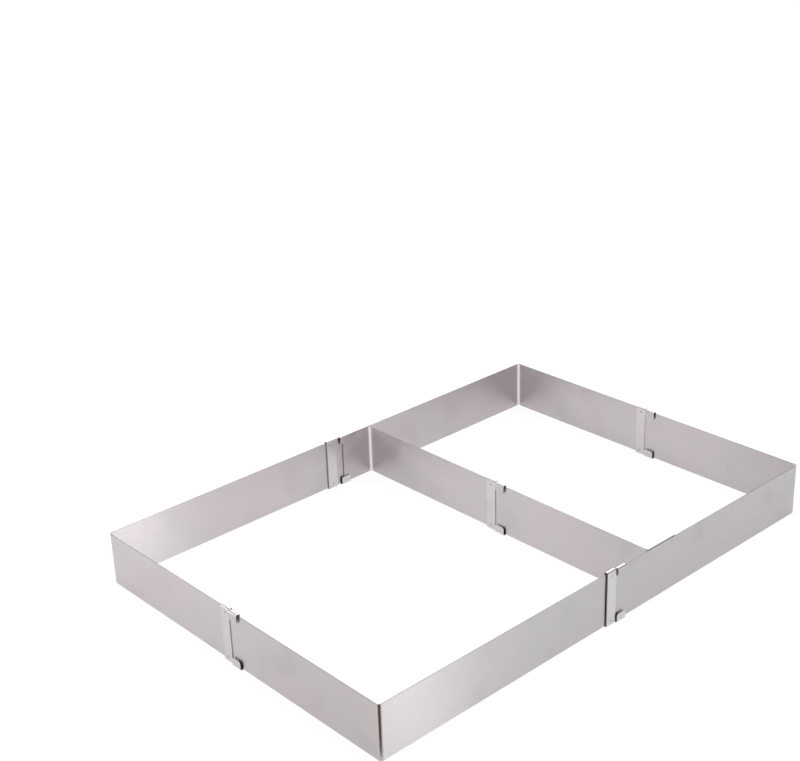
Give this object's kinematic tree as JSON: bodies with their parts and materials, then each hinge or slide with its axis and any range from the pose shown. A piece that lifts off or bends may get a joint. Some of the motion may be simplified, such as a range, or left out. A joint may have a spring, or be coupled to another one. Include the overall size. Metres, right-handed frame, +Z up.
{
  "type": "adjustable cake frame",
  "caption": "Rectangular steel baking frame of telescoping L-bent strips guided by folded clips, with a telescoping divider strip across it.",
  "frame": {"origin": "centre of the frame as drawn fully out, on the plane that its clips stand on", "axes": "+X along the short walls, from the left wall to the right wall; +Y along the long walls, from the front wall to the back wall; +Z up"},
  "size_m": [0.3636, 0.5336, 0.0522],
  "materials": {
    "band_steel": "satin stainless sheet",
    "clip_steel": "brighter satin stainless strip"
  },
  "bodies": {
    "divider_left_half": {"divider_band_left": "band_steel", "slide_clip_divider_left_band": "clip_steel"},
    "divider_right_half": {"divider_band_right": "band_steel", "slide_clip_divider_right_band": "clip_steel"},
    "front_left_corner": {"corner_band_front_left": "band_steel", "slide_clip_front_wall_left_band": "clip_steel", "slide_clip_left_wall_front_band": "clip_steel"},
    "front_right_corner": {"corner_band_front_right": "band_steel", "slide_clip_front_wall_right_band": "clip_steel", "slide_clip_right_wall_front_band": "clip_steel"},
    "back_right_corner": {"corner_band_back_right": "band_steel", "slide_clip_back_wall_right_band": "clip_steel", "slide_clip_right_wall_back_band": "clip_steel"},
    "back_left_corner": {"corner_band_back_left": "band_steel", "slide_clip_back_wall_left_band": "clip_steel", "slide_clip_left_wall_back_band": "clip_steel"}
  },
  "joints": [
    {"name": "front_slide", "type": "slide", "parent": "divider_left_half", "child": "front_left_corner", "axis": [0, 1, 0], "range_m": [0, 0.027]},
    {"name": "back_slide", "type": "slide", "parent": "divider_left_half", "child": "back_left_corner", "axis": [0, -1, 0], "range_m": [0, 0.181]},
    {"name": "width_slide", "type": "slide", "parent": "front_left_corner", "child": "front_right_corner", "axis": [-1, 0, 0], "range_m": [0, 0.164]},
    {"name": "back_width_slide", "type": "slide", "parent": "back_left_corner", "child": "back_right_corner", "axis": [-1, 0, 0], "range_m": [0, 0.164]},
    {"name": "divider_width_slide", "type": "slide", "parent": "divider_left_half", "child": "divider_right_half", "axis": [-1, 0, 0], "range_m": [0, 0.164]}
  ],
  "couplings": [
    {"joint": "back_width_slide", "follows": "width_slide", "ratio": 1},
    {"joint": "divider_width_slide", "follows": "width_slide", "ratio": 1}
  ]
}
